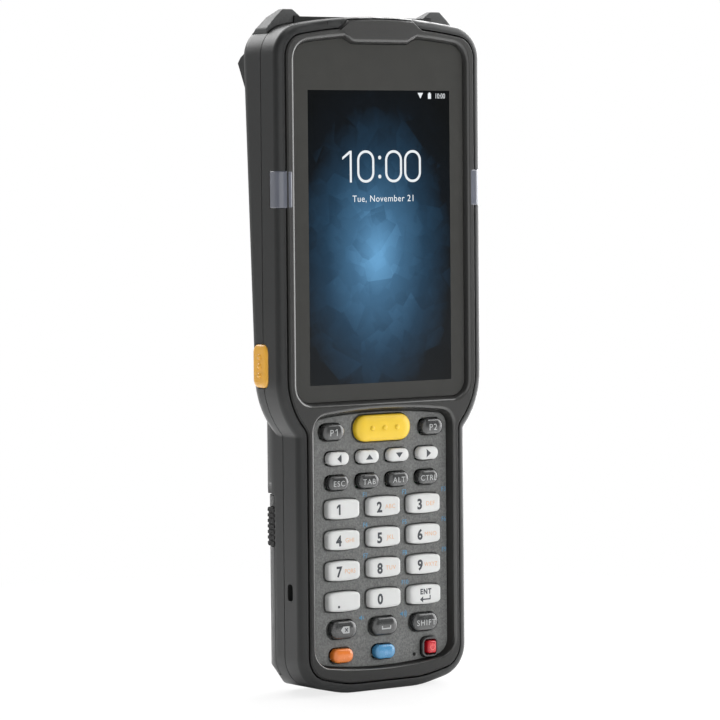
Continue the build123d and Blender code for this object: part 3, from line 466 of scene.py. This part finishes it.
def moved(drawing, x=0.0, y=0.0, z=0.0):
    bmesh.ops.translate(drawing, vec=(x, y, z), verts=drawing.verts)
    return drawing


# ---------------------------------------------------------------- prints

def words(text, height, weight=0.0, narrow=1.0, spacing=1.0):
    """Lettering as a flat drawing: its capitals are height tall and centred on the origin."""
    curve = bpy.data.curves.new("letters", "FONT")
    curve.body = text
    curve.align_x = "CENTER"
    curve.offset = weight
    curve.space_character = spacing
    curve.resolution_u = 3
    holder = bpy.data.objects.new("letters", curve)
    mesh = bpy.data.meshes.new_from_object(holder)
    drawing = bmesh.new()
    drawing.from_mesh(mesh)
    bpy.data.objects.remove(holder)
    bpy.data.curves.remove(curve)
    bpy.data.meshes.remove(mesh)
    size = height / CAPITAL
    bmesh.ops.scale(drawing, vec=(size * narrow, size, 1), verts=drawing.verts)
    return moved(drawing, y=-height / 2)


def bar(x, y, width, height):
    return moved(plate(width, height, 0), x, y)


def turned(drawing, degrees):
    bmesh.ops.rotate(drawing, cent=(0, 0, 0), matrix=Matrix.Rotation(radians(degrees), 3, "Z"),
                     verts=drawing.verts)
    return drawing


def wedge(base, depth, turn):
    """A filled triangle that points up, turned by an angle in degrees."""
    drawing = bmesh.new()
    corners = [drawing.verts.new(place) for place in
               ((-base / 2, -depth / 2, 0), (base / 2, -depth / 2, 0), (0, depth / 2, 0))]
    drawing.faces.new(corners)
    return turned(drawing, turn)


def ring_part(radius, width, start, end, steps=14):
    """A flat part of a ring, between two angles in degrees."""
    drawing = bmesh.new()
    first = [drawing.verts.new((reach * cos(radians(start)), reach * sin(radians(start)), 0))
             for reach in (radius - width / 2, radius + width / 2)]
    edge = drawing.edges.new(first)
    bmesh.ops.spin(drawing, geom=[*first, edge], cent=(0, 0, 0), axis=(0, 0, 1),
                   angle=radians(end - start), steps=steps, use_merge=False)
    return drawing


def together(*drawings):
    first = drawings[0]
    for other in drawings[1:]:
        join(first, other)
    return first


def return_sign():
    return together(bar(0.45, -0.35, 2.9, 0.4), bar(1.7, 0.35, 0.4, 1.0),
                    moved(wedge(1.85, 1.2, 90), x=-1.5, y=-0.35))


def space_sign():
    return together(bar(0, -0.45, 3.4, 0.36), bar(-1.52, 0.08, 0.36, 0.7),
                    bar(1.52, 0.08, 0.36, 0.7))


def erase_sign():
    return together(bar(0.45, 0, 2.2, 2.1), moved(wedge(2.1, 0.95, 90), x=-1.12))


def erase_cross():
    return together(*(moved(turned(plate(1.5, 0.32, 0), turn), x=0.45) for turn in (45, -45)))


def power_sign():
    return together(ring_part(0.85, 0.24, 125, 415), bar(0, 0.75, 0.24, 0.95))


def speaker_sign(waves):
    parts = [bar(-0.75, 0, 0.5, 0.6), moved(wedge(1.5, 0.75, 90), x=-0.5)]
    parts += [moved(ring_part(0.55 + 0.42 * wave, 0.17, -50, 50, 6), x=-0.05)
              for wave in range(waves)]
    return together(*parts)


def sliced(drawing, pitch=0.3):
    """Cuts flat lettering into small faces, so that it can follow a curved key."""
    for axis in (0, 1):
        places = [vert.co[axis] for vert in drawing.verts]
        line = min(places) + pitch
        while line < max(places):
            across = Vector((0, 0, 0))
            across[axis] = 1
            bmesh.ops.bisect_plane(drawing, dist=0.0001, plane_co=across * line, plane_no=across,
                                   geom=drawing.verts[:] + drawing.edges[:] + drawing.faces[:])
            line += pitch
    return drawing


def laid(drawing, tree, extra=0.0):
    """Lets a flat drawing down onto a surface and gives it the thickness of ink."""
    for vert in drawing.verts:
        below = tree.ray_cast(Vector((vert.co.x, vert.co.y, ABOVE_ALL_Z)), Vector((0, 0, -1)))[0]
        vert.co.z = (below.z if below else PANEL_Z) + INK_RISE + extra
    return thick(drawing)


def thick(drawing, depth=INK_THICK):
    grown = bmesh.ops.extrude_face_region(drawing, geom=drawing.faces[:], use_keep_orig=True)
    bmesh.ops.translate(drawing, vec=(0, 0, -depth), verts=new_verts(grown))
    bmesh.ops.recalc_face_normals(drawing, faces=drawing.faces)
    return drawing


# ---------------------------------------------------------------- keys

NUMBER_FORM = {"corner": 1.25, "reach": 1.15, "rise": 0.85}
NUMBER_SAG = 0.45          # how much lower a number key's edge is at its ends
NUMBER_KEYS = {"key_" + number for number in "0123456789"} | {"key_dot", "key_enter"}
SCAN_FORM = {"corner": 3.68, "reach": 3.0, "rise": 1.2}
POWER_FORM = {"corner": 0.8, "reach": 0.76, "rise": 0.85}
PILL_CORNER = 0.47         # of a pill's height
PILL_REACH = 0.45
PILL_RISE = 0.9
LETTERS = {"2": "ABC", "3": "DEF", "4": "GHI", "5": "JKL", "6": "MNO", "7": "PQRS", "8": "TUV",
           "9": "WXYZ"}
DIGIT_X = -2.2
LETTERS_X = 1.75
SCAN_MARK = (0.85, 0.8, 0.5)
SCAN_MARK_PITCH = 4.5
CREASE = 50                # a key or button creases where its surface turns further


def one(height, width, stroke):
    """The digit one with its flag."""
    half = height / 2
    drawing = bmesh.new()
    flag = [drawing.verts.new(place) for place in
            ((-stroke, half, 0), (-width, half - 0.2 * height, 0),
             (-width, half - 0.2 * height - 1.1 * stroke, 0), (-stroke, half - 1.2 * stroke, 0))]
    drawing.faces.new(flag)
    bmesh.ops.recalc_face_normals(drawing, faces=drawing.faces)
    return moved(together(drawing, bar(-stroke / 2, 0, stroke, height)), x=width / 2)


def zero(width, height, stroke):
    """A thin round nought."""
    drawing = plate(width, height, width * 0.48, 12)
    inner = drawing.faces[:]
    bmesh.ops.inset_region(drawing, faces=inner, thickness=stroke, use_even_offset=True,
                           use_boundary=True)
    bmesh.ops.delete(drawing, geom=inner, context="FACES")
    return drawing


def digit_print(digit):
    sign = one(3.1, 1.35, 0.62) if digit == "1" else words(digit, 3.1, 0.036, 0.92)
    return [("dark_ink", moved(sign, x=DIGIT_X))]


def pale_print(text, height=1.7, narrow=0.98, spacing=1.2, x=-0.3):
    return [("pale_ink", moved(words(text, height, 0.0, narrow, spacing), x=x, y=-0.1))]


def arrow_print(turn):
    return [("dark_ink", moved(wedge(2.6, 1.55, turn), x=-0.2))]


PRINTS = {
    "key_p1": [("pale_ink", moved(together(moved(words("P", 2.0, 0.0, 1.05), x=-0.9),
                                           moved(one(2.0, 0.9, 0.26), x=0.75)), x=-0.2, y=-0.1))],
    "key_p2": pale_print("P2", 2.0, 1.05, 1.15, -0.2),
    "key_left": arrow_print(90), "key_up": arrow_print(0),
    "key_down": arrow_print(180), "key_right": arrow_print(-90),
    "key_esc": pale_print("ESC"), "key_tab": pale_print("TAB"),
    "key_alt": pale_print("ALT"), "key_ctrl": pale_print("CTRL", spacing=1.12, x=-0.25),
    "key_dot": [("dark_ink", moved(plate(0.72, 0.72, 0.12), x=-2.4, y=-1.35))],
    "key_enter": [("dark_ink", moved(words("ENT", 1.6, 0.045, 0.9, 1.2), x=-0.2, y=1.0)),
                  ("dark_ink", moved(return_sign(), x=-0.3, y=-1.05))],
    "key_backspace": [("pale_ink", moved(erase_sign(), x=-0.1)),
                      ("dark_ink", moved(erase_cross(), x=-0.1))],
    "key_space": [("pale_ink", moved(space_sign(), x=0.0, y=-0.3))],
    "key_shift": pale_print("SHIFT", 1.75, 1.0, 1.22, -0.1),
    "key_power": [("red_ink", power_sign())],
}
for number in "0123456789":
    PRINTS["key_" + number] = digit_print(number)
for number, letters in LETTERS.items():
    narrow = 0.85 if len(letters) > 3 else 1.0
    PRINTS["key_" + number].append(
        ("orange_ink", moved(words(letters, 1.35, 0.0, narrow, 1.08), x=LETTERS_X)))
INK_SLOT = {"dark_ink": "key_dark", "orange_ink": "key_orange", "pale_ink": "key_white",
            "blue_ink": "key_blue", "red_ink": "key_red"}


def key_form(node, height):
    """Corner radius, reach and rise of a key's rounded top."""
    if node == "key_scan":
        return SCAN_FORM
    if node == "key_power":
        return POWER_FORM
    if is_number(node):
        return NUMBER_FORM
    return {"corner": PILL_CORNER * height, "reach": PILL_REACH * height, "rise": PILL_RISE}


def is_number(node):
    """Whether a key is one of the twelve in the number block."""
    return node in NUMBER_KEYS


def marks(drawing, size, pitch, z=0.0):
    """Three small raised marks in a row, which a thumb can feel."""
    for place in (-1, 0, 1):
        mark = bmesh.new()
        bmesh.ops.create_uvsphere(mark, u_segments=16, v_segments=10, radius=1)
        bmesh.ops.scale(mark, vec=size, verts=mark.verts)
        join(drawing, moved(mark, x=place * pitch, z=z))


def key(node):
    """A key's cap with its prints, in place of the plain one."""
    low, high = place_of(node)
    x, y = (low.x + high.x) / 2 + CAP_GAP[0], (low.y + high.y) / 2
    width = high.x - low.x - 2 * (KEY_FLANGE + CAP_GAP[0])
    height = high.y - low.y - 2 * (KEY_FLANGE + CAP_GAP[1])
    form = key_form(node, height)
    drawing = plate(width, height, form["corner"], 8)
    if is_number(node):
        arched(drawing, width, height, NUMBER_SAG)
    tops = raised(drawing, KEY_ROOT_Z, KEY_TOP_Z - form["rise"])
    domed(drawing, tops, form["reach"], form["rise"])
    smooth(drawing, CREASE)
    tree = BVHTree.FromBMesh(drawing)
    for index, (ink, sign) in enumerate(PRINTS.get(node, [])):
        extra = INK_RISE if index and node == "key_backspace" else 0.0
        laid(sliced(sign), tree, extra)
        hang("%s_print_%d" % (node, index + 1), moved(sign, x, y), INK_SLOT[ink],
             BODY_OF[node], ink)
    if node == "key_scan":
        marks(drawing, SCAN_MARK, SCAN_MARK_PITCH, KEY_TOP_Z)
        smooth(drawing, CREASE)
    piece = hang(node + "_cap", moved(drawing, x, y), SLOT_OF[node], BODY_OF[node])
    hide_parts(node)
    even(piece)


for node in frame["nodes"]:
    if node.startswith("key_"):
        key(node)

# Blue second functions, printed on the panel beside the keys
PANEL_PRINTS = [("F1", -5.8, -76.2), ("F2", 8.7, -76.2), ("F3", 23.4, -76.2),
                ("F4", -5.8, -85.2), ("F5", 8.7, -85.2), ("F6", 23.4, -85.2),
                ("F7", -5.8, -94.4), ("F8", 8.7, -94.4), ("F9", 23.4, -94.4),
                ("F10", 8.7, -103.3)]


def panel_prints():
    signs = [moved(words(text, 1.45, 0.0, 0.9), x=x, y=y) for text, x, y in PANEL_PRINTS]
    signs.append(moved(speaker_sign(1), x=-7.2, y=-112.8))
    signs.append(moved(speaker_sign(3), x=7.9, y=-112.8))
    drawing = moved(together(*signs), z=PANEL_Z + INK_RISE)
    hang("panel_print", thick(drawing), "key_blue", "terminal_body", "blue_ink")


panel_prints()


# ---------------------------------------------------------------- display

def battery_sign():
    return together(bar(0, -0.12, 1.15, 1.6), bar(0, 0.82, 0.55, 0.28))


def display():
    """The lit picture on the glass, with a clock, a date and small signs."""
    glow = moved(plate(*PICTURE_SIZE, 0), z=INK_RISE)
    hang("lit_picture", thick(glow, INK_RISE / 2), "display", "terminal_body", "lit_picture")
    clock = together(moved(one(9.3, 3.4, 0.72), x=-12.4),
                     *(moved(zero(6.2, 9.5, 0.74), x=x) for x in (-5.6, 4.6, 11.6)),
                     *(moved(plate(1.1, 1.1, 0.5), x=-0.5, y=y) for y in (-3.0, 2.6)))
    moved(clock, x=0.4, y=20.8)
    date = moved(words("Tue, November 21", 2.0, -0.002, 1.0, 1.08), x=1.3, y=11.4)
    signs = together(clock, date, moved(wedge(2.0, 1.7, 180), x=15.1, y=41.7),
                     moved(battery_sign(), x=18.5, y=41.7),
                     moved(words("10:00", 1.6, -0.004, 0.8), x=22.4, y=41.7))
    hang("clock_and_signs", thick(moved(signs, z=2 * INK_RISE), INK_RISE / 2), "display",
         "terminal_body", "lit_letters")


display()


# ---------------------------------------------------------------- side pieces

BUTTON_SIZE = (12.7, 7.4)
BUTTON_Z = -8.9
BUTTON_DEEP = 3.5
BUTTON_CORNER = 2.4
BUTTON_REACH = 1.7
BUTTON_RISE = 0.75
BUTTON_MARK = 0.5          # how far the raised marks stand out of the button
BUTTON_MARK_PITCH = 2.7


def side_button(node):
    """Rubber scan button: a soft pillow with three raised marks, on the housing's side."""
    low, high = place_of(node)
    outward = -1 if node.endswith("left") else 1
    outer_x = low.x if outward < 0 else high.x
    length, height = BUTTON_SIZE
    drawing = plate(length, height, BUTTON_CORNER, 8)
    tops = raised(drawing, -BUTTON_DEEP, -BUTTON_RISE)
    domed(drawing, tops, BUTTON_REACH, BUTTON_RISE)
    marks(drawing, (0.85, 0.85, BUTTON_MARK), BUTTON_MARK_PITCH)
    smooth(drawing, CREASE)
    turn = Matrix(((0, 0, outward), (outward, 0, 0), (0, 1, 0)))
    bmesh.ops.transform(drawing, matrix=turn.to_4x4(), verts=drawing.verts)
    bmesh.ops.recalc_face_normals(drawing, faces=drawing.faces)
    moved(drawing, outer_x - outward * BUTTON_MARK, (low.y + high.y) / 2, BUTTON_Z)
    piece = hang(node + "_pad", drawing, SLOT_OF[node], BODY_OF[node])
    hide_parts(node)
    even(piece)


for node in ("side_button_left", "side_button_right"):
    side_button(node)


# ---------------------------------------------------------------- carried-over pieces

LENS_STEPS = ((0.4, 0.57), (1.6, 0.0))    # how a lamp's lens runs in and up over the bezel
LENS_END_X = 33.0          # beyond this towards the middle is a lens's end over the bezel
LENS_BEND_X = 34.3
LENS_LIFTED_Z = 0.5        # corners above this climb onto the bezel
RIM_Z = 1.5
SEAM_Z = -7.6
THIN_EDGE = (55, -0.7)     # above this y and z the housing's edge is too thin to round
SLIVER_DROP = 0.1          # a sliver's corner lies less than this below the rim
SLIVER_REACH = 0.4         # and less than this from the rim's nearest corner


def whole(line):
    """All sharp edges are softened to the full."""
    return 1.0


def housing_edge(line):
    """The seam is softened in full, the thin edge round the scanner end not at all."""
    middle = (line.verts[0].co + line.verts[1].co) / 2
    if middle.y > THIN_EDGE[0] and middle.z > THIN_EDGE[1]:
        return 0.0
    return 1.0 if abs(middle.z - SEAM_Z) < 0.02 else 0.5


def rim_edge(line):
    """Only the bezel's upper inner edges are rounded."""
    return 1.0 if all(vert.co.z > RIM_Z - 0.01 for vert in line.verts) else 0.0


def lens_edge(line):
    """A lens is roundest at its end over the bezel, and its bends stay crisp."""
    first, second = (abs(vert.co.x) for vert in line.verts)
    if max(first, second) < LENS_END_X:
        return 1.0
    return 0.0 if abs(first - second) < 0.01 and first < LENS_BEND_X else 0.4


def rim_corners(drawing):
    """Draws the slivers at the recess's lower corners up into the rim."""
    rim = [vert for vert in drawing.verts if vert.co.z > RIM_Z - 0.001]
    for sliver in [vert for vert in drawing.verts if 0.001 < RIM_Z - vert.co.z < SLIVER_DROP]:
        near = min(rim, key=lambda vert: (vert.co - sliver.co).length)
        if (near.co - sliver.co).length < SLIVER_REACH:
            bmesh.ops.pointmerge(drawing, verts=[near, sliver], merge_co=near.co)


def lamp_lens(drawing):
    """Runs a lamp's lens in and up, over the bezel's edge."""
    inward = 1 if drawing.verts[:][0].co.x < 0 else -1
    end = [face for face in drawing.faces if face.normal.x * inward > 0.9]
    for reach, lift in LENS_STEPS:
        grown = bmesh.ops.extrude_face_region(drawing, geom=end)
        bmesh.ops.delete(drawing, geom=end, context="FACES")
        end = new_faces(grown)
        for vert in new_verts(grown):
            vert.co.x += inward * reach
            vert.co.z += lift if vert.co.z > LENS_LIFTED_Z else 0.0


RESHAPED = {"front_bezel": rim_corners, "led_lens_left": lamp_lens,
            "led_lens_right": lamp_lens}
SOFTNESS = {"front_housing": housing_edge, "front_bezel": rim_edge,
            "led_lens_left": lens_edge, "led_lens_right": lens_edge}
DRESSED = {"front_housing": (0.3, 35, 35, 2), "front_bezel": (0.6, 35, 55, 5, "rim"),
           "touch_glass": (0.12, 35, 35, 2), "keypad_plate": (0.2, 35, 50, 2),
           "power_key_bezel": (0.3, 35, 50, 4), "rear_housing": (0, 35),
           "battery_pack": (0.2, 35, 35, 2), "battery_latch_left": (0.1, 35, 35, 2),
           "battery_latch_right": (0.1, 35, 35, 2), "corner_bumper_left": (0.35, 12, 12, 3),
           "corner_bumper_right": (0.35, 12, 12, 3), "led_lens_left": (0.95, 35, 50, 6),
           "led_lens_right": (0.95, 35, 50, 6), "scan_window": (0.15, 35, 35, 2)}
for node, sizes in DRESSED.items():
    dress(node, *sizes)
for node, part in frame["nodes"].items():
    if node not in DRESSED:
        part.data.materials.clear()
        part.data.materials.append(FINISHES[FINISH_OF.get(node, SLOT_OF[node])].material)


# ---------------------------------------------------------------- studio

FLOOR_HALF = 3.0           # half the floor's width, in metres
FLOOR_WHITE = 0.8          # share of the floor near the terminal that shows white to the camera
FLOOR_FADE = (0.06, 0.3)   # and where, in metres, it runs into the white background


def add_floor():
    """Pale floor that shows white to the camera and keeps the terminal's shadow."""
    drawing = bmesh.new()
    bmesh.ops.create_grid(drawing, x_segments=1, y_segments=1, size=FLOOR_HALF)
    mesh = bpy.data.meshes.new("floor")
    drawing.to_mesh(mesh)
    drawing.free()
    floor = bpy.data.objects.new("floor", mesh)
    bpy.context.scene.collection.objects.link(floor)
    finish = Finish("pale_floor")
    finish.set(Base_Color=(0.85, 0.85, 0.85), Roughness=0.9)
    white = finish.node("ShaderNodeEmission", {}, {"Color": (1, 1, 1), "Strength": 1.0})
    camera = finish.node("ShaderNodeLightPath", output="Is Camera Ray")
    far = finish.node("ShaderNodeVectorMath", {"operation": "LENGTH"}, {0: finish.place()},
                      output="Value")
    share = FLOOR_WHITE + (1 - FLOOR_WHITE) * finish.ramp(far, *FLOOR_FADE)
    shown = finish.node("ShaderNodeMixShader", {}, {0: camera * share,
                                                    1: Value(finish, finish.shader.outputs[0]),
                                                    2: white})
    finish.feed(finish.tree.nodes["Material Output"].inputs["Surface"], shown)
    mesh.materials.append(finish.material)


ROOM_LEVEL = 0.36
GLOSS_FRONT = 0.06         # what a glossy surface mirrors of the room, in front and behind
GLOSS_BEHIND = 0.5
BEHIND = (-0.2, 0.7)       # ways along y between which the front turns into the back


def add_world():
    """White behind the terminal, and a dim room in front of it."""
    world = bpy.data.worlds.new("studio")
    bpy.context.scene.world = world
    world.use_nodes = True
    room = Finish("studio", world.node_tree)
    way = room.node("ShaderNodeTexCoord", output="Generated")
    behind = room.ramp(room.node("ShaderNodeSeparateXYZ", {}, {0: way}, output="Y"), *BEHIND)
    camera = room.node("ShaderNodeLightPath", output="Is Camera Ray")
    glossy = room.node("ShaderNodeLightPath", output="Is Glossy Ray")
    clear = room.node("ShaderNodeLightPath", output="Is Transmission Ray")
    mirrored = GLOSS_FRONT - ROOM_LEVEL + behind * (GLOSS_BEHIND - GLOSS_FRONT)
    background = world.node_tree.nodes["Background"]
    room.feed(background.inputs["Color"], (1, 1, 1))
    room.feed(background.inputs["Strength"],
              ROOM_LEVEL + (camera + clear) * (1 - ROOM_LEVEL) + glossy * mirrored)


def add_lamp(name, place, aim, size, watts):
    light = bpy.data.lights.new(name, "AREA")
    light.shape = "RECTANGLE"
    light.size, light.size_y = size
    light.energy = watts
    lamp = bpy.data.objects.new(name, light)
    bpy.context.scene.collection.objects.link(lamp)
    start, end = DRAWING @ Vector(place), DRAWING @ Vector(aim)
    lamp.location = start
    lamp.rotation_euler = (end - start).to_track_quat("-Z", "Y").to_euler()


# Camera, solved from the display's size: a long lens to the left of the screen's normal
LENS = 183.61
FILM = 36.0
CAMERA_TURN = radians(35.907)
CAMERA_RISE = radians(2.991)
CAMERA_ROLL = radians(0.4985)
CAMERA_SHIFT = Vector((6.079, 36.466, -1086.5)) * MM
CLIP = (0.05, 20.0)


def add_camera():
    data = bpy.data.cameras.new("camera")
    data.lens = LENS
    data.sensor_width = FILM
    data.clip_start, data.clip_end = CLIP
    camera = bpy.data.objects.new("camera", data)
    bpy.context.scene.collection.objects.link(camera)
    view = (Matrix.Translation(CAMERA_SHIFT) @ Matrix.Rotation(CAMERA_ROLL, 4, "Z")
            @ Matrix.Rotation(CAMERA_RISE, 4, "X") @ Matrix.Rotation(CAMERA_TURN, 4, "Y"))
    camera.matrix_world = STAND @ view.inverted()
    bpy.context.scene.camera = camera


add_floor()
add_world()
add_lamp("front_light", (-300, 260, 780), (0, -20, 0), (1.0, 0.8), 2.2)
add_lamp("side_light", (600, 90, 190), (0, -20, 0), (0.55, 0.9), 5.5)
add_lamp("rim_light", (560, 60, -310), (30, -20, -8), (0.5, 1.0), 11)
add_lamp("top_light", (60, 760, 60), (0, 0, 0), (0.7, 0.4), 1.4)
add_lamp("back_light", (-20, 500, -600), (0, 30, -10), (0.7, 0.5), 5)
add_camera()
bpy.context.scene.view_settings.view_transform = "Standard"
